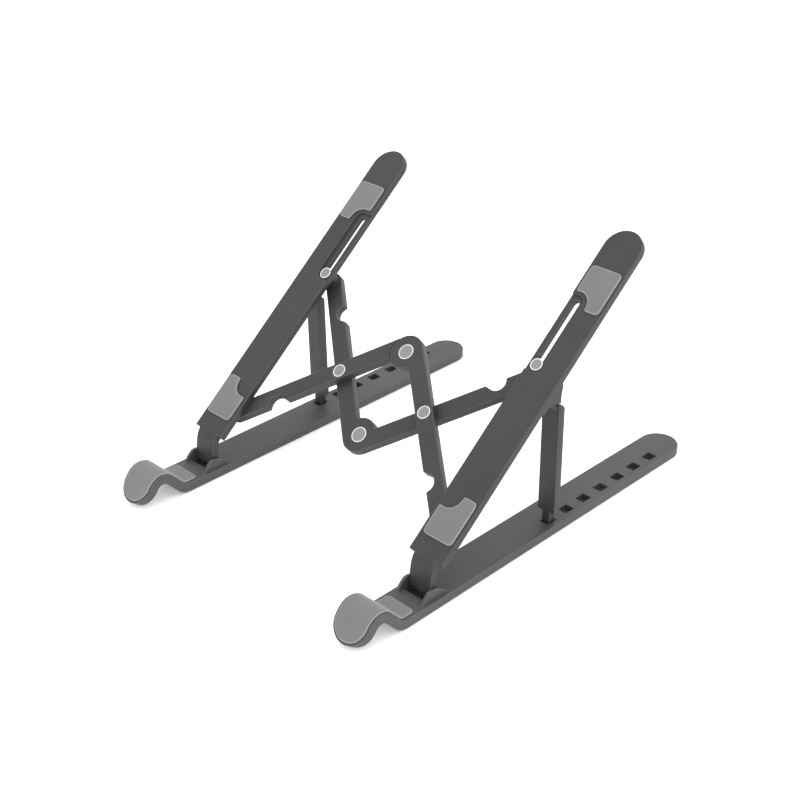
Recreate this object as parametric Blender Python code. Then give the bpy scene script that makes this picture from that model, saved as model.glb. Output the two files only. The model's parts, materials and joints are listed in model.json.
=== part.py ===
"""Foldable scissor laptop stand, modelled open at its steepest setting.

Units are metres, +Z is up and +Y runs back along the two base arms. The origin is on the table,
in the middle of the stand's footprint. Two mirrored side frames are joined by four links that
fold like a pantograph. The names below use "side" = -1 for the left frame and +1 for the right.
"""
import bpy
import bmesh
from math import acos, asin, cos, degrees, pi, radians, sin, sqrt
from mathutils import Matrix, Vector

MM = 0.001
GAP = 0.3 * MM            # running gap between pieces that move or are set into each other
SKIN_GAP = 0.1 * MM       # gap under a pad that is stuck down

# Driving dimensions of the side frames. The arms' line is a line across the stand, near the hinge
# pins: arm space and base space are both measured from it.
BASE_WIDTH = 21.6 * MM
BASE_THICKNESS = 5.1 * MM
FOOT_PROUD = 0.5 * MM
REAR_REACH = 204.7 * MM   # arms' line to the rear end of a base arm
FRONT_REACH = 49.9 * MM   # arms' line to the front end of the lip
LINE_HEIGHT = 7.0 * MM    # arms' line above the base arm's underside
HINGE_PLACE = (3.3 * MM, 6.2 * MM)  # hinge pin behind the arms' line and above the underside
TILT = radians(40.07)     # upper arms above the table
ARM_WIDTH = 21.5 * MM
ARM_THICKNESS = 4.0 * MM
ARM_TOP = 10.0 * MM       # arm's top face above the arms' line, square to the arm
ARM_START = 14.2 * MM     # full width begins here, along the arm
ARM_END = 203.9 * MM

# Driving dimensions of the links
LINK_WIDTH = 9.7 * MM
LINK_THICKNESS = 4.8 * MM
LAYER_GAP = 0.2 * MM
INNER_LENGTH = 39.3 * MM  # centre pin to crossing pin, along the link
OUTER_LENGTH = 63.4 * MM  # crossing pin to arm pin, along the link
LINK_ANGLE = radians(45.4)
FOLD = radians(43.4)
PIVOT_S = 31.85 * MM      # lower link pivot along the arm

# Derived places
LINE_Y = (FRONT_REACH - REAR_REACH) / 2
BASE_BOTTOM = FOOT_PROUD
BASE_TOP = BASE_BOTTOM + BASE_THICKNESS
LINE_Z = BASE_BOTTOM + LINE_HEIGHT
HINGE_Y = LINE_Y + HINGE_PLACE[0]
HINGE_Z = BASE_BOTTOM + HINGE_PLACE[1]
PIN_OFFSET = LINK_WIDTH / 2
PIVOT_X = (INNER_LENGTH + OUTER_LENGTH) * cos(LINK_ANGLE) + PIN_OFFSET * sin(LINK_ANGLE)
PIVOT_IN = 6.0 * MM       # link pivot inwards from the arm's middle
SIDE_X = PIVOT_X + PIVOT_IN
SLOT_LOW = PIVOT_S + 2 * OUTER_LENGTH * sin(LINK_ANGLE)
SLOT_HIGH = PIVOT_S + 2 * OUTER_LENGTH * sin(LINK_ANGLE + FOLD)
ARM_BOTTOM = ARM_TOP - ARM_THICKNESS
TOP_LAYER = ARM_BOTTOM - LAYER_GAP
LOW_LAYER = TOP_LAYER - LINK_THICKNESS - LAYER_GAP
CROSS_S = PIVOT_S + OUTER_LENGTH * sin(LINK_ANGLE)
CENTRE_RISE = INNER_LENGTH * sin(LINK_ANGLE) - PIN_OFFSET * cos(LINK_ANGLE)

# Fasteners and small fittings
SHAFT_R = 1.5 * MM
HEAD_SINK = 0.8 * MM
HEAD_THICKNESS = 0.7 * MM
CENTRE_HEAD_R = 4.35 * MM
CENTRE_TAIL_R = 3.6 * MM
CROSS_HEAD_R = 3.7 * MM
SLOT_HEAD_R = 3.35 * MM
PIVOT_HEAD_R = 3.0 * MM
BOSS_R = 3.6 * MM         # raised boss of a falling link, under the slot
PIVOT_BITE = 2.4 * MM     # depth of the lower pivot's bore in the arm
HINGE_PIN_R = 1.3 * MM
KNUCKLE_R = 2.8 * MM
STRUT_PIN_R = 1.3 * MM
SLOT_HALF = SHAFT_R + GAP
TRACK_R = 4.2 * MM
TRACK_DEPTH = 1.2 * MM
NECK_HALF = 7.0 * MM
EAR_INNER = NECK_HALF + GAP
EAR_OUTER = 8.95 * MM
PIN_WALL = 0.6 * MM       # material left outside a blind pin bore
NECK_STEP = 0.02 * MM     # the neck's faces lie just inside the arm's
EDGE = 0.3 * MM           # rounding of a moulded edge
SMALL_EDGE = 0.2 * MM
POCKET_FLOOR = 1.2 * MM
POCKET_SPAN = (-2.7 * MM, 7.0 * MM)  # behind the arms' line
OVERCUT = 1.0 * MM        # how far a cutter reaches past the face it opens
BORE_PHASE = radians(4.3)  # keeps a bore's facets off the edges of the face it opens in

# Feet
FOOT_SIZE = (12.0 * MM, 24.0 * MM)
FOOT_SEAT_DEPTH = 1.0 * MM
FOOT_PLACES = (20.0 * MM, 176.0 * MM)    # behind the arms' line

# Sockets for the strut's foot
SOCKET_COUNT = 7
SOCKET_PITCH = 14.6 * MM
SOCKET_FIRST = 90.7 * MM  # behind the arms' line
SOCKET_X = 4.8 * MM       # outwards from the arm's middle
SOCKET_SIZE = (5.6 * MM, 7.0 * MM)
SOCKET_DEPTH = 3.6 * MM

# Strut, in a side view: distances behind the arms' line and above the base arm's top
STRUT_THICKNESS = 4.5 * MM
STRUT_SPAN = (-0.6 * MM, 10.3 * MM)     # outwards from the arm's middle
STRUT_HEAD_SPAN = (3.1 * MM, 8.5 * MM)
STRUT_TONGUE_SPAN = (2.3 * MM, 7.3 * MM)
CHEEK_SPAN = (1.2 * MM, 10.35 * MM)
STRUT_PIVOT = (85.2 * MM, 76.2 * MM)
STRUT_TOP = (89.1 * MM, 70.6 * MM)
STRUT_SHOULDER = (90.7 * MM, 6.6 * MM)
STRUT_CORNER = 1.9 * MM   # slanted rear corner of the bar's top
STRUT_HEAD_R = 2.9 * MM
TONGUE_HALF = 2.1 * MM

# Pads
PAD_THICKNESS = 0.9 * MM
PAD_SPAN = (-8.8 * MM, 9.4 * MM)        # from the arm's middle, inner edge to outer edge
PAD_LENGTH = 24.2 * MM
PAD_CORNER = 1.6 * MM
PAD_NOTCH_R = 7.2 * MM
PAD_NOTCH_IN = 1.6 * MM
UPPER_PAD_S = 156.4 * MM
LOWER_PAD_S = 23.9 * MM
LIP_PAD_THICKNESS = 0.5 * MM
LIP_PAD_INSET = 1.3 * MM
LIP_PAD_REAR_INSET = 2.1 * MM
LIP_PAD_REAR = 6.0 * MM   # pad's rear end behind the start of the lip

# Lip at the front of each base arm
LIP_START = 17.5 * MM     # in front of the arms' line
LIP_VALLEY_R = 8.0 * MM
LIP_RISE_ANGLE = radians(47.6)
LIP_RISE_LENGTH = 9.6 * MM
LIP_CREST_R = 6.5 * MM
LIP_DROP_ANGLE = radians(51.8)
LIP_DROP_LENGTH = 2.2 * MM
VALLEY_STEPS = 6
CREST_STEPS = 14
ROUND_END = [radians(angle) for angle in (0, 10, 20, 30, 40, 50, 60, 69, 77, 84)]

CHARCOAL = (0.085, 0.085, 0.088, 1)
BASE_GREY = (0.115, 0.115, 0.12, 1)
PAD_GREY = (0.24, 0.25, 0.255, 1)
STEEL = (0.6, 0.6, 0.61, 1)
RUBBER = (0.03, 0.03, 0.03, 1)


def clear_scene():
    for obj in list(bpy.data.objects):
        bpy.data.objects.remove(obj, do_unlink=True)


def make_material(name, colour, roughness, metallic=0.0):
    material = bpy.data.materials.new(name)
    material.use_nodes = True
    shader = material.node_tree.nodes["Principled BSDF"]
    shader.inputs["Base Color"].default_value = colour
    shader.inputs["Roughness"].default_value = roughness
    shader.inputs["Metallic"].default_value = metallic
    return material


def arm_frame(side):
    """Arm space: x outwards from the arm's middle, s along the arm, n square to its top face."""
    along = Vector((0, cos(TILT), sin(TILT)))
    normal = Vector((0, -sin(TILT), cos(TILT)))
    frame = Matrix.Identity(4)
    frame.col[0][:3] = (side, 0, 0)
    frame.col[1][:3] = along
    frame.col[2][:3] = normal
    frame.col[3][:3] = (side * SIDE_X, LINE_Y, LINE_Z)
    return frame


def middle_frame():
    """Link space: x across the stand from its middle, s along the arms, n square to them."""
    frame = arm_frame(1)
    frame.col[3][:3] = (0, LINE_Y, LINE_Z)
    return frame


def hinge_point(side):
    return (side * SIDE_X, HINGE_Y, HINGE_Z)


def base_frame(side):
    """Base space: x outwards from the arm's middle, y behind the hinge, z above the underside."""
    frame = Matrix.Identity(4)
    frame.col[0][:3] = (side, 0, 0)
    frame.col[3][:3] = (side * SIDE_X, LINE_Y, BASE_BOTTOM)
    return frame


def finish_mesh(name, bm, frame, material, origin=None, smooth_angle=30):
    """Close the mesh, put it in the world and move its origin to its joint's axis."""
    bmesh.ops.transform(bm, matrix=frame, verts=bm.verts)
    bmesh.ops.recalc_face_normals(bm, faces=bm.faces)
    mesh = bpy.data.meshes.new(name)
    bm.to_mesh(mesh)
    bm.free()
    place = Vector(origin) if origin is not None else Vector((0, 0, 0))
    mesh.transform(Matrix.Translation(-place))
    mesh.shade_smooth()
    mesh.set_sharp_from_angle(angle=radians(smooth_angle))
    obj = bpy.data.objects.new(name, mesh)
    obj.location = place
    bpy.context.scene.collection.objects.link(obj)
    if material is not None:
        mesh.materials.append(material)
    return obj


def prism(name, outline, low, high, frame, material, origin=None, plane="xy"):
    """Extrude a closed outline. plane "xy" extrudes along the third axis, "yz" along the first."""
    bm = bmesh.new()
    rings = []
    for level in (low, high):
        if plane == "xy":
            points = [(u, v, level) for u, v in outline]
        else:
            points = [(level, u, v) for u, v in outline]
        rings.append([bm.verts.new(point) for point in points])
    bm.faces.new(rings[0])
    bm.faces.new(rings[1])
    count = len(outline)
    for i in range(count):
        j = (i + 1) % count
        bm.faces.new((rings[0][i], rings[0][j], rings[1][j], rings[1][i]))
    return finish_mesh(name, bm, frame, material, origin)


def turned(name, profile, frame, material, origin=None, segments=24, phase=0.0):
    """Turn a profile of (radius, height) points about the third axis of the frame."""
    bm = bmesh.new()
    rings = []
    for radius, height in profile:
        ring = []
        for k in range(segments):
            angle = phase + 2 * pi * k / segments
            ring.append(bm.verts.new((radius * cos(angle), radius * sin(angle), height)))
        rings.append(ring)
    bm.faces.new(rings[0])
    bm.faces.new(rings[-1])
    for lower, upper in zip(rings, rings[1:]):
        for k in range(segments):
            j = (k + 1) % segments
            bm.faces.new((lower[k], lower[j], upper[j], upper[k]))
    return finish_mesh(name, bm, frame, material, origin)


def swept_strip(name, stations, low, high, edge, frame, material, origin=None):
    """A strip with a chamfered rectangular section. A station is (y, z, heading, half width)."""
    bm = bmesh.new()
    rings = []
    for y, z, heading, half in stations:
        up = Vector((0, sin(heading), cos(heading)))
        centre = Vector((0, y, z))
        section = [(edge - half, low), (half - edge, low), (half, low + edge), (half, high - edge),
                   (half - edge, high), (edge - half, high), (-half, high - edge), (-half, low + edge)]
        rings.append([bm.verts.new(centre + Vector((x, 0, 0)) + up * level) for x, level in section])
    bm.faces.new(rings[0])
    bm.faces.new(rings[-1])
    for near, far in zip(rings, rings[1:]):
        for k in range(8):
            j = (k + 1) % 8
            bm.faces.new((near[k], near[j], far[j], far[k]))
    return finish_mesh(name, bm, frame, material, origin)


def bore(obj, name, radius, low, high, frame, segments=20):
    """Cut a round hole from low to high on the frame's third axis."""
    profile = [(radius, low), (radius, high)]
    combine(obj, turned(name, profile, frame, None, segments=segments, phase=BORE_PHASE), "DIFFERENCE")


def add_bevel(obj, width, segments=1):
    bevel = obj.modifiers.new("edge_round", "BEVEL")
    bevel.width = width
    bevel.segments = segments
    bevel.limit_method = "ANGLE"
    bevel.angle_limit = radians(50)


def combine(obj, other, operation):
    """Add or cut away another solid, which is then kept only as a guide."""
    boolean = obj.modifiers.new(operation.lower(), "BOOLEAN")
    boolean.operation = operation
    boolean.solver = "EXACT"
    boolean.object = other
    other.hide_render = True
    other.display_type = "WIRE"


def arc(centre, radius, start, end, steps):
    """Points on an arc, with angles in degrees."""
    points = []
    for k in range(steps + 1):
        angle = radians(start + (end - start) * k / steps)
        points.append((centre[0] + radius * cos(angle), centre[1] + radius * sin(angle)))
    return points


def rectangle(x_low, x_high, y_low, y_high):
    return [(x_low, y_low), (x_high, y_low), (x_high, y_high), (x_low, y_high)]


def shifted(frame, x, y, z=0.0):
    return frame @ Matrix.Translation((x, y, z))


def along_x(frame, x, y, z):
    """A frame whose third axis runs along the first axis of the given one."""
    return frame @ Matrix.Translation((x, y, z)) @ Matrix.Rotation(pi / 2, 4, "Y")


def side_name(side, piece):
    return ("left_" if side < 0 else "right_") + piece


# ---------------------------------------------------------------- base arms

def lip_stations(half, rear_half):
    """Stations of the S-shaped lip, from the flat arm forwards to its round end.

    The path turns up out of the flat arm, rises, turns over the crest and drops to the paddle. The
    strip is rear_half wide at the start and half wide from the rise onwards.
    """
    y = -LIP_START
    z = BASE_THICKNESS / 2
    path = []
    for k in range(VALLEY_STEPS + 1):
        share = k / VALLEY_STEPS
        turn = LIP_RISE_ANGLE * share
        width = rear_half + (half - rear_half) * share
        path.append((y - LIP_VALLEY_R * sin(turn), z + LIP_VALLEY_R * (1 - cos(turn)), turn, width))
    y = path[-1][0] - LIP_RISE_LENGTH * cos(LIP_RISE_ANGLE)
    z = path[-1][1] + LIP_RISE_LENGTH * sin(LIP_RISE_ANGLE)
    hub_y = y - LIP_CREST_R * sin(LIP_RISE_ANGLE)
    hub_z = z - LIP_CREST_R * cos(LIP_RISE_ANGLE)
    for k in range(CREST_STEPS + 1):
        turn = LIP_RISE_ANGLE - (LIP_RISE_ANGLE + LIP_DROP_ANGLE) * k / CREST_STEPS
        path.append((hub_y + LIP_CREST_R * sin(turn), hub_z + LIP_CREST_R * cos(turn), turn, half))
    end_y, end_z, turn, _ = path[-1]
    for angle in ROUND_END:
        ahead = LIP_DROP_LENGTH + half * sin(angle)
        path.append((end_y - ahead * cos(turn), end_z + ahead * sin(turn), turn, half * cos(angle)))
    return path


def base_stations():
    """Rear round end, straight arm and lip, from the back to the front."""
    radius = BASE_WIDTH / 2
    stations = []
    for angle in reversed(ROUND_END):
        stations.append((REAR_REACH - radius + radius * sin(angle), BASE_THICKNESS / 2, 0.0,
                         radius * cos(angle)))
    return stations + lip_stations(radius, radius)


def ear_outline():
    """Side view of a hinge ear: a low hump round the hinge pin."""
    corners = [(-6.4, 0.4), (-6.4, 5.4), (-3.7, 8.6), (-1.6, 10.5), (0.6, 10.9), (3.2, 10.3),
               (5.8, 9.0), (8.7, 6.9), (11.4, 4.6), (11.4, 0.4)]
    return [(y * MM, z * MM) for y, z in corners]


def build_base_arm(side, material):
    frame = base_frame(side)
    thickness = BASE_THICKNESS / 2
    name = side_name(side, "base_arm")
    arm = swept_strip(name, base_stations(), -thickness, thickness, EDGE, frame, material,
                      hinge_point(side))
    for low, high, label in ((-EAR_OUTER, -EAR_INNER, "in"), (EAR_INNER, EAR_OUTER, "out")):
        ear = prism(name + "_ear_" + label, ear_outline(), low, high, frame, None, plane="yz")
        add_bevel(ear, SMALL_EDGE)
        combine(arm, ear, "UNION")
    ear_top = 14 * MM
    pocket = prism(name + "_pocket", rectangle(*POCKET_SPAN, POCKET_FLOOR, ear_top),
                   -EAR_INNER, EAR_INNER, frame, None, plane="yz")
    combine(arm, pocket, "DIFFERENCE")
    pin_half = EAR_OUTER - PIN_WALL
    bore(arm, name + "_bore", HINGE_PIN_R + GAP, -pin_half, pin_half, along_x(frame, 0, *HINGE_PLACE))
    for k in range(SOCKET_COUNT):
        y = SOCKET_FIRST + SOCKET_PITCH * k
        outline = rectangle(SOCKET_X - SOCKET_SIZE[0] / 2, SOCKET_X + SOCKET_SIZE[0] / 2,
                            y - SOCKET_SIZE[1] / 2, y + SOCKET_SIZE[1] / 2)
        socket = prism(name + "_socket_" + str(k), outline, BASE_THICKNESS - SOCKET_DEPTH,
                       BASE_THICKNESS + OVERCUT, frame, None)
        combine(arm, socket, "DIFFERENCE")
    for place in FOOT_PLACES:
        seat = prism(name + "_foot_seat", foot_outline(place, GAP), -OVERCUT, FOOT_SEAT_DEPTH,
                     frame, None)
        combine(arm, seat, "DIFFERENCE")


def foot_outline(place, margin):
    """A foot's outline: a bar with round ends, in plan."""
    half = FOOT_SIZE[0] / 2 + margin
    straight = (FOOT_SIZE[1] - FOOT_SIZE[0]) / 2
    return (arc((0, place + straight), half, 0, 180, 10)
            + arc((0, place - straight), half, 180, 360, 10))


def build_feet(side, material):
    frame = base_frame(side)
    for place, label in zip(FOOT_PLACES, ("front_foot", "rear_foot")):
        foot = prism(side_name(side, label), foot_outline(place, 0), -FOOT_PROUD,
                     FOOT_SEAT_DEPTH - SKIN_GAP, frame, material,
                     (side * SIDE_X, LINE_Y + place, 0))
        add_bevel(foot, SMALL_EDGE)


def build_lip_pad(side, material):
    """Silicone skin over the valley, the crest and the paddle."""
    half = BASE_WIDTH / 2
    rear_half = half - LIP_PAD_REAR_INSET
    rear = []
    for k in range(5):
        angle = pi / 2 * k / 4
        rear.append((-LIP_START + LIP_PAD_REAR - 2 * MM * (1 - cos(angle)), BASE_THICKNESS / 2, 0.0,
                     rear_half - 2 * MM * (1 - sin(angle))))
    low = BASE_THICKNESS / 2 + SKIN_GAP
    swept_strip(side_name(side, "lip_pad"), rear + lip_stations(half - LIP_PAD_INSET, rear_half),
                low, low + LIP_PAD_THICKNESS, SMALL_EDGE, base_frame(side), material,
                (side * SIDE_X, LINE_Y - LIP_START, LINE_Z))


def build_hinge_pin(side, material):
    reach = EAR_OUTER - PIN_WALL - GAP
    turned(side_name(side, "hinge_pin"), [(HINGE_PIN_R, -reach), (HINGE_PIN_R, reach)],
           along_x(base_frame(side), 0, *HINGE_PLACE), material, hinge_point(side), segments=20)


# ---------------------------------------------------------------- upper arms

def arm_outline():
    half = ARM_WIDTH / 2
    return ([(-half, ARM_START), (half, ARM_START)]
            + arc((0, ARM_END - half), half, 0, 180, 24))


def to_arm_plane(y, z):
    """Turn a side-view place (behind the arms' line, above it) into (s, n)."""
    return (y * cos(TILT) + z * sin(TILT), z * cos(TILT) - y * sin(TILT))


def neck_outline():
    """Side view (s, n) of the neck that turns down from the arm to its knuckle on the hinge pin."""
    front = [(3.3, 22.2), (2.5, 20.4), (1.9, 18.4), (1.5, 16.0), (1.1, 13.0), (0.8, 10.0),
             (0.55, 7.8)]
    rear = [(5.6, 9.4), (5.3, 12.0), (5.4, 15.5), (6.0, 18.4)]
    outline = [(20 * MM, ARM_TOP - NECK_STEP), (ARM_START - 0.3 * MM, ARM_TOP - NECK_STEP)]
    outline += [to_arm_plane(y * MM, z * MM - LINE_HEIGHT) for y, z in front]
    for y, z in arc(HINGE_PLACE, KNUCKLE_R, 178, 390, 14):
        outline.append(to_arm_plane(y, z - LINE_HEIGHT))
    outline += [to_arm_plane(y * MM, z * MM - LINE_HEIGHT) for y, z in rear]
    return outline + [(ARM_START + 1.5 * MM, ARM_BOTTOM + NECK_STEP), (20 * MM, ARM_BOTTOM + NECK_STEP)]


def cheek_outline():
    """Side view of a strut cheek: an upright rear edge and an arched lower edge."""
    above = BASE_TOP - LINE_Z
    corners = [(88.6, 81.8), (87.8, 77.3), (87.6, 72.8), (87.1, 72.4), (85.6, 73.4), (83.6, 74.0),
               (81.2, 74.1), (79.0, 73.6), (77.0, 72.6), (75.2, 71.2)]
    outline = [to_arm_plane(y * MM, z * MM + above) for y, z in corners]
    inside = ARM_BOTTOM + 1.5 * MM
    return outline + [(outline[-1][0], inside), (outline[0][0] + 2 * MM, inside)]


def slot_outline(radius, low, high, open_side):
    """A slot's outline in arm space. An open slot runs out past the arm's inner edge."""
    x = -PIVOT_IN
    if not open_side:
        return arc((x, high), radius, 0, 180, 12) + arc((x, low), radius, 180, 360, 12)
    edge = -ARM_WIDTH / 2 - OVERCUT
    return ([(edge, low - radius)] + arc((x, low), radius, -90, 0, 8)
            + arc((x, high), radius, 0, 90, 8) + [(edge, high + radius)])


def build_upper_arm(side, material):
    frame = arm_frame(side)
    name = side_name(side, "upper_arm")
    arm = prism(name, arm_outline(), ARM_BOTTOM, ARM_TOP, frame, material, hinge_point(side))
    add_bevel(arm, EDGE)
    neck = prism(name + "_neck", neck_outline(), -NECK_HALF, NECK_HALF, frame, None, plane="yz")
    add_bevel(neck, SMALL_EDGE)
    combine(arm, neck, "UNION")
    cheeks = ((STRUT_HEAD_SPAN[1] + GAP, CHEEK_SPAN[1], "out"),
              (CHEEK_SPAN[0], STRUT_HEAD_SPAN[0] - GAP, "in"))
    for low, high, label in cheeks:
        cheek = prism(name + "_cheek_" + label, cheek_outline(), low, high, frame, None, plane="yz")
        combine(arm, cheek, "UNION")
    track = prism(name + "_track", slot_outline(TRACK_R, SLOT_LOW, SLOT_HIGH, True),
                  ARM_TOP - TRACK_DEPTH, ARM_TOP + OVERCUT, frame, None)
    combine(arm, track, "DIFFERENCE")
    slot = prism(name + "_slot", slot_outline(SLOT_HALF, SLOT_LOW, SLOT_HIGH, False),
                 ARM_BOTTOM - OVERCUT, ARM_TOP + OVERCUT, frame, None)
    combine(arm, slot, "DIFFERENCE")
    hinge_s, hinge_n = to_arm_plane(HINGE_PLACE[0], HINGE_PLACE[1] - LINE_HEIGHT)
    bores = ((HINGE_PIN_R + GAP, along_x(frame, 0, hinge_s, hinge_n), -NECK_HALF - OVERCUT,
              NECK_HALF + OVERCUT, "hinge"),
             (STRUT_PIN_R + GAP, along_x(frame, 0, *strut_pivot()), CHEEK_SPAN[0] + PIN_WALL,
              CHEEK_SPAN[1] - PIN_WALL, "strut"),
             (SHAFT_R + GAP, shifted(frame, -PIVOT_IN, PIVOT_S), ARM_BOTTOM - OVERCUT,
              ARM_BOTTOM + PIVOT_BITE, "pivot"))
    for radius, place, low, high, label in bores:
        bore(arm, name + "_bore_" + label, radius, low, high, place)


def strut_pivot():
    """The strut's pin in arm space (s, n)."""
    return to_arm_plane(STRUT_PIVOT[0], STRUT_PIVOT[1] + BASE_TOP - LINE_Z)


def pad_outline(low, notch_at_low):
    """A pad with a round notch in one inner corner, where the slot's track ends."""
    inner, outer = PAD_SPAN
    high = low + PAD_LENGTH
    x = -PIVOT_IN
    corner = PAD_CORNER
    reach = degrees(acos((x - inner) / PAD_NOTCH_R))
    step = degrees(asin(PAD_NOTCH_IN / PAD_NOTCH_R))
    notch = low + PAD_NOTCH_IN
    outline = (arc((x, notch), PAD_NOTCH_R, 180 - reach, -step, 10)
               + arc((outer - corner, low + corner), corner, -90, 0, 5)
               + arc((outer - corner, high - corner), corner, 0, 90, 5)
               + arc((inner + corner, high - corner), corner, 90, 180, 5))
    if notch_at_low:
        return outline
    return [(px, low + high - ps) for px, ps in outline]


def build_arm_pads(side, material):
    frame = arm_frame(side)
    low = ARM_TOP + SKIN_GAP
    for label, start, at_low in (("upper_pad", UPPER_PAD_S, True), ("lower_pad", LOWER_PAD_S, False)):
        origin = frame @ Vector((0, start, ARM_TOP))
        pad = prism(side_name(side, label), pad_outline(start, at_low), low, low + PAD_THICKNESS,
                    frame, material, origin)
        add_bevel(pad, EDGE)


# ---------------------------------------------------------------- struts

def build_strut(side, arm_material, pin_material):
    """Bar with a round head between the cheeks and a tongue over its socket, and its pin."""
    frame = base_frame(side)
    half = STRUT_THICKNESS / 2
    rise = BASE_THICKNESS
    pivot = (STRUT_PIVOT[0], STRUT_PIVOT[1] + rise)
    top_y, top_z = STRUT_TOP[0], STRUT_TOP[1] + rise
    shoulder_y, shoulder_z = STRUT_SHOULDER[0], STRUT_SHOULDER[1] + rise
    origin = frame @ Vector((0, pivot[0], pivot[1]))
    name = side_name(side, "strut")
    bar_outline = [(shoulder_y - half, shoulder_z), (shoulder_y + half, shoulder_z),
                   (top_y + half, top_z - STRUT_CORNER), (top_y + half - STRUT_CORNER, top_z),
                   (top_y - half, top_z)]
    bar = prism(name, bar_outline, *STRUT_SPAN, frame, arm_material, origin, plane="yz")
    add_bevel(bar, EDGE)
    root = 3 * MM
    head_outline = ([(top_y - half + EDGE, top_z - root), (top_y, top_z - root)]
                    + arc(pivot, STRUT_HEAD_R, -20, 200, 14))
    head = prism(name + "_head", head_outline, *STRUT_HEAD_SPAN, frame, None, plane="yz")
    combine(bar, head, "UNION")
    tongue_outline = rectangle(shoulder_y - TONGUE_HALF, shoulder_y + TONGUE_HALF, rise + GAP,
                               shoulder_z + root)
    tongue = prism(name + "_tongue", tongue_outline, *STRUT_TONGUE_SPAN, frame, None, plane="yz")
    add_bevel(tongue, EDGE)
    combine(bar, tongue, "UNION")
    bore(bar, name + "_bore", STRUT_PIN_R + GAP, STRUT_HEAD_SPAN[0] - OVERCUT,
         STRUT_HEAD_SPAN[1] + OVERCUT, along_x(frame, 0, *pivot))
    pin_span = (CHEEK_SPAN[0] + PIN_WALL + GAP, CHEEK_SPAN[1] - PIN_WALL - GAP)
    turned(side_name(side, "strut_pin"), [(STRUT_PIN_R, end) for end in pin_span],
           along_x(frame, 0, *pivot), pin_material, origin, segments=24)


# ---------------------------------------------------------------- links and rivets

def link_outline():
    """A link in its own plane: t runs from the centre pin towards the arm, q out from its pin line.

    The centre pin sits on the link's inner edge inside a round boss twice as wide as the link, so
    two folded links lie side by side. The notch in the inner edge clears the other centre rivet.
    """
    width = LINK_WIDTH
    end = INNER_LENGTH + OUTER_LENGTH
    notch_t = 2 * INNER_LENGTH
    notch_r = 5.0 * MM
    lead_end = (notch_t - 4.4 * MM, 2.4 * MM)
    outline = arc((0, 0), width, 90, 360, 30)
    outline += [(notch_t - 6.4 * MM, 0), lead_end]
    outline += arc((notch_t, 0), notch_r, 140, 8, 12)
    outline += [(notch_t + notch_r + EDGE, 0)]
    outline += arc((end, PIN_OFFSET), PIN_OFFSET, -90, 90, 16)
    return outline


def link_frame(side, upper):
    """Frame of a link: first axis along it, second axis out from its pin line."""
    rise = -1 if upper else 1
    along = Vector((side * cos(LINK_ANGLE), rise * sin(LINK_ANGLE), 0))
    outward = Vector((side * sin(LINK_ANGLE), -rise * cos(LINK_ANGLE), 0))
    local = Matrix.Identity(4)
    local.col[0][:3] = along
    local.col[1][:3] = outward
    local.col[3][:3] = (0, CROSS_S - rise * CENTRE_RISE, 0)
    return middle_frame() @ local


def link_place(t, q, side, upper, n=0.0):
    return link_frame(side, upper) @ Vector((t, q, n))


def build_link(side, upper, material):
    """A rising link (upper centre pin to lower pivot) or a falling one (lower centre to slot).

    Its origin is on the pin that joins it to the piece that carries it.
    """
    name = side_name(side, "rising_link" if upper else "falling_link")
    frame = link_frame(side, upper)
    top = TOP_LAYER if upper else LOW_LAYER
    bottom = top - LINK_THICKNESS
    middle = (top + bottom) / 2
    end = INNER_LENGTH + OUTER_LENGTH
    anchor_t = end if upper and side < 0 else INNER_LENGTH
    anchor_q = PIN_OFFSET
    if upper and side > 0:
        anchor_t = 0.0
        anchor_q = 0.0
    link = prism(name, link_outline(), bottom, top, frame, material,
                 link_place(anchor_t, anchor_q, side, upper, middle))
    add_bevel(link, EDGE)
    lies_on_top = (side > 0) == upper
    if lies_on_top:
        lap = (bottom - OVERCUT, middle + LAYER_GAP / 2)
    else:
        lap = (middle - LAYER_GAP / 2, top + OVERCUT)
    through = (bottom - OVERCUT, top + OVERCUT)
    sunk_top = (top - HEAD_SINK, top + OVERCUT)
    sunk_bottom = (bottom - OVERCUT, bottom + HEAD_SINK)
    above_boss = TOP_LAYER + OVERCUT
    cutters = [(LINK_WIDTH + GAP, 0, 0, *lap, 40),
               (SHAFT_R + GAP, 0, 0, *through, 20),
               (SHAFT_R + GAP, INNER_LENGTH, PIN_OFFSET, *through, 20),
               (SHAFT_R + GAP, end, PIN_OFFSET, through[0], above_boss, 20),
               (CROSS_HEAD_R + GAP, INNER_LENGTH, PIN_OFFSET, *(sunk_top if upper else sunk_bottom), 24),
               (PIVOT_HEAD_R + GAP, end, PIN_OFFSET, *sunk_bottom, 24)]
    if lies_on_top:
        cutters.append((CENTRE_HEAD_R + GAP, 0, 0, *sunk_top, 28))
    elif not upper:
        cutters.append((CENTRE_HEAD_R + GAP, 0, 0, *sunk_bottom, 28))
    if not upper:
        boss = turned(name + "_boss", [(BOSS_R, middle), (BOSS_R, TOP_LAYER)],
                      shifted(frame, end, PIN_OFFSET), None, segments=24)
        combine(link, boss, "UNION")
    for index, (radius, t, q, low, high, segments) in enumerate(cutters):
        bore(link, name + "_cut_" + str(index), radius, low, high, shifted(frame, t, q), segments)


def rivet_profile(low, low_head_r, high, high_head_r):
    """A rivet from low to high, with a chamfered head at each end. A zero radius leaves it out."""
    edge = 0.15 * MM
    profile = []
    if low_head_r:
        profile += [(low_head_r - edge, low), (low_head_r, low + edge),
                    (low_head_r, low + HEAD_THICKNESS)]
        profile.append((SHAFT_R, low + HEAD_THICKNESS))
    else:
        profile.append((SHAFT_R, low))
    if high_head_r:
        profile.append((SHAFT_R, high - HEAD_THICKNESS))
        profile += [(high_head_r, high - HEAD_THICKNESS), (high_head_r, high - edge),
                    (high_head_r - edge, high)]
    else:
        profile.append((SHAFT_R, high))
    return profile


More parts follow.
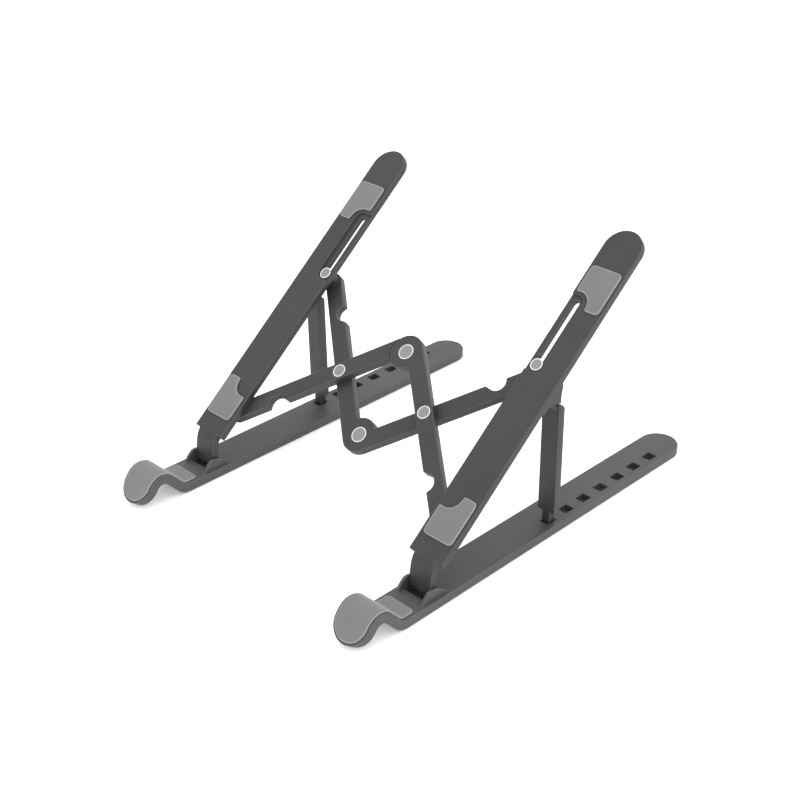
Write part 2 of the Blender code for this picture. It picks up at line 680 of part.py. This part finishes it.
def build_rivet(name, frame, low, low_head_r, high, high_head_r, material, segments=24):
    origin = frame @ Vector((0, 0, (low + high) / 2))
    return turned(name, rivet_profile(low, low_head_r, high, high_head_r), frame, material, origin,
                  segments)


def build_rivets(rivet_material, pin_material):
    flush = 0.05 * MM
    proud = HEAD_THICKNESS + SKIN_GAP
    rising_bottom = TOP_LAYER - LINK_THICKNESS
    falling_bottom = LOW_LAYER - LINK_THICKNESS
    track_floor = ARM_TOP - TRACK_DEPTH
    end = INNER_LENGTH + OUTER_LENGTH
    build_rivet("upper_centre_rivet", link_frame(1, True), rising_bottom - proud, CENTRE_TAIL_R,
                TOP_LAYER - flush, CENTRE_HEAD_R, rivet_material)
    build_rivet("lower_centre_rivet", link_frame(-1, False), falling_bottom + flush, CENTRE_HEAD_R,
                LOW_LAYER - flush, CENTRE_HEAD_R, rivet_material)
    for side in (-1, 1):
        rising = link_frame(side, True)
        falling = link_frame(side, False)
        build_rivet(side_name(side, "crossing_rivet"), shifted(rising, INNER_LENGTH, PIN_OFFSET),
                    falling_bottom + flush, CROSS_HEAD_R, TOP_LAYER - flush, CROSS_HEAD_R,
                    rivet_material)
        build_rivet(side_name(side, "slot_rivet"), shifted(falling, end, PIN_OFFSET),
                    falling_bottom + flush, PIVOT_HEAD_R, track_floor + proud, SLOT_HEAD_R,
                    rivet_material)
        build_rivet(side_name(side, "pivot_pin"), shifted(rising, end, PIN_OFFSET),
                    rising_bottom + flush, PIVOT_HEAD_R, ARM_BOTTOM + PIVOT_BITE - GAP, 0,
                    pin_material)


clear_scene()
arm_plastic = make_material("arm_plastic", CHARCOAL, 0.5)
base_plastic = make_material("base_plastic", BASE_GREY, 0.5)
silicone = make_material("silicone", PAD_GREY, 0.75)
rivet_steel = make_material("rivet_steel", STEEL, 0.3, 1.0)
pin_steel = make_material("pin_steel", STEEL, 0.35, 1.0)
foot_rubber = make_material("foot_rubber", RUBBER, 0.85)

for frame_side in (-1, 1):
    build_base_arm(frame_side, base_plastic)
    build_feet(frame_side, foot_rubber)
    build_lip_pad(frame_side, silicone)
    build_hinge_pin(frame_side, pin_steel)
    build_upper_arm(frame_side, arm_plastic)
    build_arm_pads(frame_side, silicone)
    build_strut(frame_side, arm_plastic, pin_steel)
    build_link(frame_side, True, arm_plastic)
    build_link(frame_side, False, arm_plastic)
build_rivets(rivet_steel, pin_steel)
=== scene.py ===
"""Looks of the foldable laptop stand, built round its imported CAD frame."""

import json
import math

import bmesh
import bpy
from mathutils import Matrix, Vector


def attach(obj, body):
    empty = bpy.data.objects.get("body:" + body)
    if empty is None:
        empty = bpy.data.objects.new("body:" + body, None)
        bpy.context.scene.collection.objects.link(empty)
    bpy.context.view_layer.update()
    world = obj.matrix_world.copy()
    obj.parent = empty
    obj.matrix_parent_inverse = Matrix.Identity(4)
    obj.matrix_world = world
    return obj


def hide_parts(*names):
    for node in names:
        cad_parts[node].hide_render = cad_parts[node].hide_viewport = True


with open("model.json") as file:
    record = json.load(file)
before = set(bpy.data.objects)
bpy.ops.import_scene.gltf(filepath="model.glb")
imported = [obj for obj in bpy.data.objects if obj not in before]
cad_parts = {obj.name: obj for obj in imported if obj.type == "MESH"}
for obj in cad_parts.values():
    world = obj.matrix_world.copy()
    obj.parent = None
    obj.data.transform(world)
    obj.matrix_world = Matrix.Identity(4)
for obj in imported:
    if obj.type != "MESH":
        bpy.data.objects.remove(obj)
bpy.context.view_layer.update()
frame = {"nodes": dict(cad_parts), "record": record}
MM = 0.001

JOINTS = {joint["name"]: joint for joint in frame["record"]["behaviour"]["joints"]}
LINE = Vector((0, -0.0774, 0.0075))    # the arms' line, from which the CAD's sizes are taken
TILT = math.radians(40.07)              # upper arms above the table
SIDE_X = JOINTS["right_base_tilt"]["pos_m"][0]
BASE_BOTTOM = 0.5 * MM                  # underside of a base arm
BASE_HALF_THICKNESS = 2.55 * MM
ARM_TOP = 10.0 * MM                     # an upper arm's top face above the arms' line
SKIN_LIFT = 0.03 * MM                   # hairline under a rebuilt skin
BODIES = frame["record"]["behaviour"]["bodies"]
BODY_OF = {node: body for body, nodes in BODIES.items() for node in nodes}


# ---------------------------------------------------------------- materials

def new_material(name):
    material = bpy.data.materials.new(name)
    material.use_nodes = True
    tree = material.node_tree
    return material, tree, tree.nodes["Principled BSDF"]


def add(tree, kind, **values):
    """Add a node. Keyword values set its inputs by name or its own settings."""
    node = tree.nodes.new(kind)
    for key, value in values.items():
        if key in node.inputs:
            node.inputs[key].default_value = value
        else:
            setattr(node, key, value)
    return node


def join(tree, source, target):
    tree.links.new(source, target)


def mix_colour(tree, factor, low, high):
    node = tree.nodes.new("ShaderNodeMix")
    node.data_type = "RGBA"
    join(tree, factor, node.inputs[0])
    for index, value in ((6, low), (7, high)):
        if hasattr(value, "is_linked"):
            join(tree, value, node.inputs[index])
        else:
            node.inputs[index].default_value = value
    return node.outputs[2]


def ramp(tree, source, points):
    """Map a value through (position, grey) points."""
    node = tree.nodes.new("ShaderNodeValToRGB")
    elements = node.color_ramp.elements
    while len(elements) < len(points):
        elements.new(0.5)
    for element, (place, grey) in zip(elements, points):
        element.position = place
        element.color = (grey, grey, grey, 1)
    join(tree, source, node.inputs[0])
    return node.outputs[0]


def object_place(tree):
    return tree.nodes.new("ShaderNodeTexCoord").outputs["Object"]


def noise(tree, place, scale, detail=3.0, roughness=0.5):
    node = add(tree, "ShaderNodeTexNoise", Scale=scale, Detail=detail, Roughness=roughness)
    join(tree, place, node.inputs["Vector"])
    return node.outputs["Fac"]


def edge_mask(tree, radius, low, high):
    """One where the surface turns sharply within the radius, zero on flat faces."""
    bevel = add(tree, "ShaderNodeBevel", Radius=radius)
    bevel.samples = 6
    geometry = tree.nodes.new("ShaderNodeNewGeometry")
    dot = add(tree, "ShaderNodeVectorMath", operation="DOT_PRODUCT")
    join(tree, bevel.outputs[0], dot.inputs[0])
    join(tree, geometry.outputs["True Normal"], dot.inputs[1])
    return ramp(tree, dot.outputs["Value"], [(low, 1.0), (high, 0.0)])


def plastic(name, colour, pale, roughness, grain=0.2, grain_scale=2600):
    """Satin moulded plastic: fine spark grain, faint flow marks and paler edges, partly edge wear
    and partly a painted highlight.
    """
    material, tree, shader = new_material(name)
    place = object_place(tree)
    fine = noise(tree, place, grain_scale, 2.0, 0.6)
    broad = noise(tree, place, 26.0, 4.0, 0.55)
    mottled = noise(tree, place, 210.0, 3.0, 0.6)
    tone = mix_colour(tree, ramp(tree, broad, [(0.3, 0.0), (0.7, 1.0)]),
                      (*[c * 0.88 for c in colour], 1), (*[c * 1.12 for c in colour], 1))
    # paler edges: partly edge wear, partly a painted highlight along the edges
    wear_and_highlight = edge_mask(tree, 0.45 * MM, 0.86, 0.99)
    shader_colour = mix_colour(tree, wear_and_highlight, tone, (*pale, 1))
    join(tree, shader_colour, shader.inputs["Base Color"])
    rough = add(tree, "ShaderNodeMapRange")
    rough.inputs["To Min"].default_value = roughness - 0.05
    rough.inputs["To Max"].default_value = roughness + 0.06
    join(tree, mottled, rough.inputs["Value"])
    join(tree, rough.outputs[0], shader.inputs["Roughness"])
    soft_edge = add(tree, "ShaderNodeBevel", Radius=0.3 * MM)
    soft_edge.samples = 6
    bump = add(tree, "ShaderNodeBump", Strength=grain, Distance=0.05 * MM)
    join(tree, fine, bump.inputs["Height"])
    join(tree, soft_edge.outputs[0], bump.inputs["Normal"])
    join(tree, bump.outputs[0], shader.inputs["Normal"])
    shader.inputs["IOR"].default_value = 1.49
    shader.inputs["Specular IOR Level"].default_value = 0.4
    return material


def silicone(name, colour, pale):
    """Matte silicone with a velvety sheen, a very fine grain and a paler rim."""
    material, tree, shader = new_material(name)
    place = object_place(tree)
    fine = noise(tree, place, 3200.0, 2.0, 0.5)
    broad = noise(tree, place, 60.0, 3.0, 0.5)
    tone = mix_colour(tree, ramp(tree, broad, [(0.3, 0.0), (0.7, 1.0)]),
                      (*[c * 0.95 for c in colour], 1), (*[c * 1.05 for c in colour], 1))
    rim = edge_mask(tree, 0.5 * MM, 0.8, 0.99)
    join(tree, mix_colour(tree, rim, tone, (*pale, 1)), shader.inputs["Base Color"])
    shader.inputs["Roughness"].default_value = 0.72
    shader.inputs["Sheen Weight"].default_value = 0.25
    shader.inputs["Sheen Roughness"].default_value = 0.5
    bump = add(tree, "ShaderNodeBump", Strength=0.12, Distance=0.05 * MM)
    join(tree, fine, bump.inputs["Height"])
    join(tree, bump.outputs[0], shader.inputs["Normal"])
    return material


def ring_distance(tree, scale):
    """Distance from a turned piece's own Z axis, times scale."""
    split = tree.nodes.new("ShaderNodeSeparateXYZ")
    join(tree, object_place(tree), split.inputs[0])
    flat = tree.nodes.new("ShaderNodeCombineXYZ")
    join(tree, split.outputs["X"], flat.inputs["X"])
    join(tree, split.outputs["Y"], flat.inputs["Y"])
    length = add(tree, "ShaderNodeVectorMath", operation="LENGTH")
    join(tree, flat.outputs[0], length.inputs[0])
    times = add(tree, "ShaderNodeMath", operation="MULTIPLY")
    join(tree, length.outputs["Value"], times.inputs[0])
    times.inputs[1].default_value = scale
    return times.outputs[0]


RING_SCALE = 24000.0    # radians per metre: one lathe ring every quarter of a millimetre
SCRATCH_SHARE = 0.7


def steel(name, colour, pale, roughness):
    """Turned steel: fine lathe rings, small scratches and paler edges."""
    material, tree, shader = new_material(name)
    place = object_place(tree)
    scratches = noise(tree, place, 1500.0, 3.0, 0.6)
    broad = noise(tree, place, 260.0, 3.0, 0.5)
    tone = mix_colour(tree, broad, (*[c * 0.9 for c in colour], 1),
                      (*[c * 1.08 for c in colour], 1))
    rim = edge_mask(tree, 0.35 * MM, 0.86, 0.99)
    join(tree, mix_colour(tree, rim, tone, (*pale, 1)), shader.inputs["Base Color"])
    shader.inputs["Metallic"].default_value = 0.85
    rough = add(tree, "ShaderNodeMapRange")
    rough.inputs["To Min"].default_value = roughness - 0.06
    rough.inputs["To Max"].default_value = roughness + 0.12
    join(tree, scratches, rough.inputs["Value"])
    join(tree, rough.outputs[0], shader.inputs["Roughness"])
    rings = add(tree, "ShaderNodeMath", operation="SINE")
    join(tree, ring_distance(tree, RING_SCALE), rings.inputs[0])
    mixed = add(tree, "ShaderNodeMath", operation="MULTIPLY_ADD")
    join(tree, scratches, mixed.inputs[0])
    mixed.inputs[1].default_value = SCRATCH_SHARE
    join(tree, rings.outputs[0], mixed.inputs[2])
    bump = add(tree, "ShaderNodeBump", Strength=0.10, Distance=0.02 * MM)
    join(tree, mixed.outputs[0], bump.inputs["Height"])
    join(tree, bump.outputs[0], shader.inputs["Normal"])
    return material


# The arm plastic is darker than the base plastic partly as painted shade. It stands in for the
# dimmer light on the tilted arm tops.
ARM_WITH_PAINTED_SHADE = plastic("arm_plastic_painted_shade_look", (0.027, 0.027, 0.0287), (0.11, 0.11, 0.113), 0.50)
BASE = plastic("base_plastic_look", (0.052, 0.052, 0.054), (0.12, 0.12, 0.124), 0.50)
PAD = silicone("silicone_look", (0.122, 0.127, 0.131), (0.36, 0.37, 0.38))
PAD_RIM = silicone("silicone_rim_look", (0.215, 0.222, 0.228), (0.30, 0.31, 0.315))
RIVET = steel("rivet_steel_look", (0.24, 0.24, 0.248), (0.55, 0.55, 0.56), 0.42)
RIM = steel("rivet_rim_look", (0.66, 0.66, 0.67), (0.85, 0.85, 0.86), 0.28)
PIN = steel("pin_steel_look", (0.42, 0.42, 0.43), (0.70, 0.70, 0.71), 0.36)
FOOT = silicone("foot_rubber_look", (0.022, 0.022, 0.022), (0.045, 0.045, 0.045))


# ---------------------------------------------------------------- CAD pieces that stay

def soft_shading():
    """Node group: weld the imported facets and shade them smooth up to a sharp edge."""
    group = bpy.data.node_groups.new("soft_shading", "GeometryNodeTree")
    group.interface.new_socket("Geometry", in_out="INPUT", socket_type="NodeSocketGeometry")
    group.interface.new_socket("Geometry", in_out="OUTPUT", socket_type="NodeSocketGeometry")
    inlet = group.nodes.new("NodeGroupInput")
    outlet = group.nodes.new("NodeGroupOutput")
    clear = group.nodes.new("GeometryNodeRemoveAttribute")
    clear.inputs["Name"].default_value = "custom_normal"
    weld = group.nodes.new("GeometryNodeMergeByDistance")
    weld.inputs["Distance"].default_value = 0.000002
    smooth = group.nodes.new("GeometryNodeSetShadeSmooth")
    angle = group.nodes.new("GeometryNodeInputMeshEdgeAngle")
    sharp = group.nodes.new("FunctionNodeCompare")
    sharp.operation = "GREATER_THAN"
    sharp.inputs[1].default_value = math.radians(50)
    store = group.nodes.new("GeometryNodeStoreNamedAttribute")
    store.data_type = "BOOLEAN"
    store.domain = "EDGE"
    store.inputs["Name"].default_value = "sharp_edge"
    links = group.links
    links.new(inlet.outputs[0], clear.inputs["Geometry"])
    links.new(clear.outputs["Geometry"], weld.inputs["Geometry"])
    links.new(weld.outputs["Geometry"], smooth.inputs["Geometry"])
    links.new(smooth.outputs["Geometry"], store.inputs["Geometry"])
    links.new(angle.outputs["Unsigned Angle"], sharp.inputs[0])
    value = next(s for s in store.inputs if s.name == "Value" and s.enabled)
    links.new(sharp.outputs["Result"], value)
    links.new(store.outputs["Geometry"], outlet.inputs[0])
    return group


SOFT = soft_shading()


def dress(node, material):
    obj = frame["nodes"][node]
    obj.data.materials.clear()
    obj.data.materials.append(material)
    soft = obj.modifiers.new("soft_shading", "NODES")
    soft.node_group = SOFT
    weighted = obj.modifiers.new("weighted", "WEIGHTED_NORMAL")
    weighted.keep_sharp = True
    weighted.weight = 80
    return obj


for side in ("left_", "right_"):
    for piece, material in (("base_arm", BASE), ("upper_arm", ARM_WITH_PAINTED_SHADE), ("strut", ARM_WITH_PAINTED_SHADE),
                            ("rising_link", ARM_WITH_PAINTED_SHADE), ("falling_link", ARM_WITH_PAINTED_SHADE), ("front_foot", FOOT),
                            ("rear_foot", FOOT), ("hinge_pin", PIN), ("strut_pin", PIN),
                            ("pivot_pin", PIN)):
        dress(side + piece, material)


# ---------------------------------------------------------------- rebuilt rivets and pads

def arm_space(x, s, n):
    """Frame on a tilted arm: x across, s up along the arm and n square to its top face."""
    return (Matrix.Translation(LINE) @ Matrix.Rotation(TILT, 4, "X")
            @ Matrix.Translation((x, s, n)))


def stand_in(name, bm, matrix, material, replaced, bend=35):
    """Link a rebuilt piece, smooth up to a sharp edge, in place of its CAD node."""
    bmesh.ops.recalc_face_normals(bm, faces=bm.faces)
    for face in bm.faces:
        face.smooth = True
    for edge in bm.edges:
        edge.smooth = len(edge.link_faces) == 2 and edge.calc_face_angle() < math.radians(bend)
    mesh = bpy.data.meshes.new(name)
    bm.to_mesh(mesh)
    bm.free()
    mesh.materials.append(material)
    obj = bpy.data.objects.new(name, mesh)
    bpy.context.scene.collection.objects.link(obj)
    obj.matrix_world = matrix
    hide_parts(replaced)
    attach(obj, BODY_OF[replaced])
    return obj


def lathe(profile, segments=72):
    """Closed solid of revolution about Z from (radius, height) points; the ends lie on the axis."""
    bm = bmesh.new()
    rings = []
    for radius, z in profile:
        if radius == 0:
            rings.append([bm.verts.new((0, 0, z))])
            continue
        rings.append([bm.verts.new((radius * math.cos(2 * math.pi * k / segments),
                                    radius * math.sin(2 * math.pi * k / segments), z))
                      for k in range(segments)])
    for low, high in zip(rings, rings[1:]):
        for k in range(segments):
            after = (k + 1) % segments
            corners = [low[k % len(low)], low[after % len(low)], high[after % len(high)],
                       high[k % len(high)]]
            bm.faces.new(list(dict.fromkeys(corners)))
    return bm


RIM_WIDTH = 0.55 * MM


def head_profile(radius, height, sign):
    """Half of a formed head, from its outer wall to its axis: rounded lip, rim and dished face."""
    lip = 0.16 * MM
    lip_steps = 6
    dish = 0.10 * MM
    inside = radius - RIM_WIDTH
    floor = height - sign * dish
    points = [(radius, height - sign * 2.2 * lip)]
    for k in range(lip_steps + 1):
        angle = math.pi / 2 * k / lip_steps
        points.append((radius - lip * (1 - math.cos(angle)),
                       height - sign * lip * (1 - math.sin(angle))))
    points += [(inside, height), (inside - 0.10 * MM, height - sign * dish * 0.8),
               (inside - 0.25 * MM, floor), (radius * 0.3, floor), (0, floor)]
    return points


def rebuild_rivet(node):
    """A rivet with formed heads, on the CAD rivet's axis and with its length and head sizes."""
    source = frame["nodes"][node]
    to_arm = arm_space(0, 0, 0).inverted() @ source.matrix_world
    points = [to_arm @ vertex.co for vertex in source.data.vertices]
    x = (min(p.x for p in points) + max(p.x for p in points)) / 2
    s = (min(p.y for p in points) + max(p.y for p in points)) / 2
    low = min(p.z for p in points)
    high = max(p.z for p in points)
    reach = 0.4 * MM
    low_radius = max(math.hypot(p.x - x, p.y - s) for p in points if p.z < low + reach)
    high_radius = max(math.hypot(p.x - x, p.y - s) for p in points if p.z > high - reach)
    shaft = 1.5 * MM
    head = 0.7 * MM
    wall = 0.02 * MM      # a head's outer wall, which stays in the face's finish
    profile = list(reversed(head_profile(low_radius, low, -1)))
    profile += [(low_radius, low + head), (shaft, low + head), (shaft, high - head),
                (high_radius, high - head)]
    profile += head_profile(high_radius, high, 1)
    formed = stand_in(node + "_formed", lathe(profile), arm_space(x, s, 0), RIVET,
                      node)
    formed.data.materials.append(RIM)
    for face in formed.data.polygons:
        distance = math.hypot(face.center.x, face.center.y)
        radius = low_radius if face.center.z < (low + high) / 2 else high_radius
        if radius - RIM_WIDTH < distance < radius - wall:
            face.material_index = 1


def arc(x, y, radius, start, end, steps):
    angles = [math.radians(start + (end - start) * k / steps) for k in range(steps + 1)]
    return [(x + radius * math.cos(angle), y + radius * math.sin(angle)) for angle in angles]


def softened(points, spacing, rounds):
    """The closed outline with even spacing and its corners eased."""
    lengths = [math.dist(points[k], points[k - 1]) for k in range(len(points))]
    count = round(sum(lengths) / spacing)
    step = sum(lengths) / count
    even = []
    travelled = 0.0
    for k in range(len(points)):
        while len(even) * step <= travelled + lengths[k] and len(even) < count:
            share = (len(even) * step - travelled) / max(lengths[k], 1e-9)
            even.append(tuple(a + (b - a) * share for a, b in zip(points[k - 1], points[k])))
        travelled += lengths[k]
    for _ in range(rounds):
        even = [tuple((even[k - 1][i] + 2 * even[k][i] + even[(k + 1) % count][i]) / 4
                      for i in (0, 1)) for k in range(count)]
    return even


def inset(points, distance, closed=True):
    """Move each point of a counter-clockwise outline inwards, square to the outline."""
    moved = []
    for k, (x, y) in enumerate(points):
        before = points[k - 1] if closed or k else points[0]
        after = points[(k + 1) % len(points)] if closed or k < len(points) - 1 else points[k]
        dx, dy = after[0] - before[0], after[1] - before[1]
        length = math.hypot(dx, dy)
        moved.append((x - dy / length * distance, y + dx / length * distance))
    return moved


def pale_rim(obj, face_count):
    """Give the first faces of a skin, its wall and rounded edge, the paler rim material."""
    obj.data.materials.append(PAD_RIM)
    for face in obj.data.polygons[:face_count]:
        face.material_index = 1


def edge_rings(radius, height):
    """(inset, height) of a moulded skin's wall and its rounded edge."""
    chamfer = 0.12 * MM
    steps = 5
    rings = [(chamfer, 0.0), (0.0, chamfer)]
    for k in range(steps + 1):
        angle = math.pi / 2 * k / steps
        rings.append((radius * (1 - math.cos(angle)), height - radius * (1 - math.sin(angle))))
    return rings + [(radius + 0.15 * MM, height)]


PAD_EDGE = 0.35 * MM      # rounding of a skin's upper edge
ARM_PAD_THICKNESS = 0.97 * MM
LIP_PAD_THICKNESS = 0.62 * MM
OUTLINE_SPACING = 0.3 * MM
EASING_ROUNDS = 24


def rebuild_arm_pad(node, side, low, notch_at_low):
    """A silicone pad with one notched corner, for an upper arm."""
    inner, outer, length, corner = -8.8 * MM, 9.4 * MM, 24.2 * MM, 1.6 * MM
    notch_x, notch_r, notch_in = -6.0 * MM, 7.2 * MM, 1.6 * MM
    high = low + length
    reach = math.degrees(math.acos((notch_x - inner) / notch_r))
    step = math.degrees(math.asin(notch_in / notch_r))
    outline = (arc(notch_x, low + notch_in, notch_r, 180 - reach, -step, 12)
               + arc(outer - corner, low + corner, corner, -90, 0, 5)
               + arc(outer - corner, high - corner, corner, 0, 90, 5)
               + arc(inner + corner, high - corner, corner, 90, 180, 5))
    if not notch_at_low:
        outline = [(x, low + high - s) for x, s in outline]
    outline = [(side * x, s - low) for x, s in outline]
    if side * (1 if notch_at_low else -1) < 0:
        outline.reverse()
    outline = softened(outline, OUTLINE_SPACING, EASING_ROUNDS)
    bm = bmesh.new()
    rings = []
    for distance, height in edge_rings(PAD_EDGE, ARM_PAD_THICKNESS):
        rings.append([bm.verts.new((x, y, height)) for x, y in inset(outline, distance)])
    count = len(outline)
    for first, second in zip(rings, rings[1:]):
        for k in range(count):
            bm.faces.new((first[k], first[(k + 1) % count], second[(k + 1) % count], second[k]))
    bm.faces.new(list(reversed(rings[0])))
    bm.faces.new(rings[-1])
    skin = stand_in(node + "_skin", bm, arm_space(side * SIDE_X, low, ARM_TOP + SKIN_LIFT), PAD,
                    node)
    pale_rim(skin, count * (len(rings) - 1))


HALF_BASE = 10.8 * MM     # half the width of a base arm
LIP = {"start": 17.5 * MM, "valley": 8.0 * MM, "rise": 9.6 * MM, "crest": 6.5 * MM,
       "drop": 2.2 * MM, "up": math.radians(47.6), "down": math.radians(51.8)}


def lip_path(u):
    """(y, z, slope) of the lip's middle plane, u along it from the start of the valley."""
    up, down = LIP["up"], LIP["down"]
    y = -LIP["start"]
    z = BASE_HALF_THICKNESS
    if u <= 0:
        return y - u, z, 0.0
    turn = min(u / LIP["valley"], up)
    y -= LIP["valley"] * math.sin(turn)
    z += LIP["valley"] * (1 - math.cos(turn))
    u -= LIP["valley"] * up
    if u <= 0:
        return y, z, turn
    straight = min(u, LIP["rise"])
    y -= straight * math.cos(up)
    z += straight * math.sin(up)
    u -= LIP["rise"]
    if u <= 0:
        return y, z, up
    turn = up - min(u / LIP["crest"], up + down)
    y += LIP["crest"] * (math.sin(turn) - math.sin(up))
    z += LIP["crest"] * (math.cos(turn) - math.cos(up))
    u = max(0.0, u - LIP["crest"] * (up + down))
    return y - u * math.cos(turn), z + u * math.sin(turn), turn


def rebuild_lip_pad(node, side):
    """A silicone skin that follows the lip from the flat arm to the round paddle."""
    rear, corner = -6.0 * MM, 2.2 * MM
    rear_half, half = HALF_BASE - 2.1 * MM, HALF_BASE - 1.3 * MM
    valley_end = LIP["valley"] * LIP["up"]
    hub = valley_end + LIP["rise"] + LIP["crest"] * (LIP["up"] + LIP["down"]) + LIP["drop"]
    right = [(x, u) for x, u in arc(rear_half - corner, rear + corner, corner, -90, 0, 8)]
    steps = 70
    for k in range(1, steps):
        u = rear + corner + (hub - rear - corner) * k / steps
        share = min(max((u + 1.5 * MM) / (valley_end + 4 * MM), 0.0), 1.0)
        share = share * share * (3 - 2 * share)
        right.append((rear_half + (half - rear_half) * share, u))
    right += arc(0, hub, half, 0, 87, 26)
    bm = bmesh.new()
    rings = []
    for distance, height in edge_rings(PAD_EDGE, LIP_PAD_THICKNESS):
        ring = []
        line = inset(right, distance, closed=False)
        line[0] = (right[0][0], right[0][1] + distance)
        for sign, places in ((1, line), (-1, list(reversed(line)))):
            for x, u in places:
                y, z, slope = lip_path(u)
                lift = BASE_HALF_THICKNESS + SKIN_LIFT + height
                ring.append(bm.verts.new((sign * x, y + lift * math.sin(slope),
                                          z + lift * math.cos(slope))))
        rings.append(ring)
    count = len(rings[0])
    for first, second in zip(rings, rings[1:]):
        for k in range(count):
            bm.faces.new((first[k], first[(k + 1) % count], second[(k + 1) % count], second[k]))
    for ring in (rings[0], rings[-1]):
        for k in range(count // 2 - 1):
            bm.faces.new((ring[k], ring[k + 1], ring[count - 2 - k], ring[count - 1 - k]))
    place = Matrix.Translation((side * SIDE_X, LINE.y, BASE_BOTTOM))
    skin = stand_in(node + "_skin", bm, place, PAD, node)
    pale_rim(skin, count * (len(rings) - 1))


for rivet in ("upper_centre_rivet", "lower_centre_rivet", "left_crossing_rivet",
              "right_crossing_rivet", "left_slot_rivet", "right_slot_rivet"):
    rebuild_rivet(rivet)
for prefix, sign in (("left_", -1), ("right_", 1)):
    rebuild_arm_pad(prefix + "upper_pad", sign, 156.0 * MM, True)
    rebuild_arm_pad(prefix + "lower_pad", sign, 23.9 * MM, False)
    rebuild_lip_pad(prefix + "lip_pad", sign)


# ---------------------------------------------------------------- floor, light and camera

def build_floor():
    bm = bmesh.new()
    bmesh.ops.create_grid(bm, x_segments=1, y_segments=1, size=60.0)
    mesh = bpy.data.meshes.new("floor")
    bm.to_mesh(mesh)
    bm.free()
    floor = bpy.data.objects.new("floor", mesh)
    bpy.context.scene.collection.objects.link(floor)
    floor.location = (0, 0, -0.0001)
    material, _, shader = new_material("floor_paper")
    shader.inputs["Base Color"].default_value = (0.94, 0.94, 0.94, 1)
    shader.inputs["Roughness"].default_value = 0.9
    shader.inputs["Emission Color"].default_value = (1, 1, 1, 1)
    shader.inputs["Emission Strength"].default_value = 0.25
    mesh.materials.append(material)


def area_light(name, place, target, size, energy):
    data = bpy.data.lights.new(name, "AREA")
    data.shape = "DISK"
    data.size = size
    data.energy = energy
    lamp = bpy.data.objects.new(name, data)
    bpy.context.scene.collection.objects.link(lamp)
    lamp.location = place
    lamp.rotation_euler = (Vector(target) - Vector(place)).to_track_quat("-Z", "Y").to_euler()


def build_light():
    """A pale studio: the sky is brightest overhead, with a soft key from the right."""
    world = bpy.data.worlds.new("studio")
    bpy.context.scene.world = world
    world.use_nodes = True
    tree = world.node_tree
    split = tree.nodes.new("ShaderNodeSeparateXYZ")
    join(tree, tree.nodes.new("ShaderNodeTexCoord").outputs["Generated"], split.inputs[0])
    sky = add(tree, "ShaderNodeMapRange")
    sky.inputs["From Min"].default_value = 0.0
    sky.inputs["From Max"].default_value = 1.0
    sky.inputs["To Min"].default_value = 1.0
    sky.inputs["To Max"].default_value = 1.8
    join(tree, split.outputs["Z"], sky.inputs["Value"])
    background = tree.nodes["Background"]
    background.inputs["Color"].default_value = (1, 1, 1, 1)
    join(tree, sky.outputs[0], background.inputs["Strength"])
    area_light("key", (0.9, -0.3, 1.2), (0, 0, 0.05), 1.4, 4)


def build_camera():
    data = bpy.data.cameras.new("camera")
    data.sensor_width = 36.0
    data.lens = 62.38
    camera = bpy.data.objects.new("camera", data)
    bpy.context.scene.collection.objects.link(camera)
    place = Vector((0.44542, LINE.y - 0.38168, 0.41041))
    turn = (Matrix.Rotation(math.radians(44.61), 4, "Z")
            @ Matrix.Rotation(math.radians(90 - 29.60), 4, "X")
            @ Matrix.Rotation(math.radians(0.26), 4, "Z"))
    camera.matrix_world = Matrix.Translation(place) @ turn
    bpy.context.scene.camera = camera


build_floor()
build_light()
build_camera()
bpy.context.scene.view_settings.view_transform = "Standard"
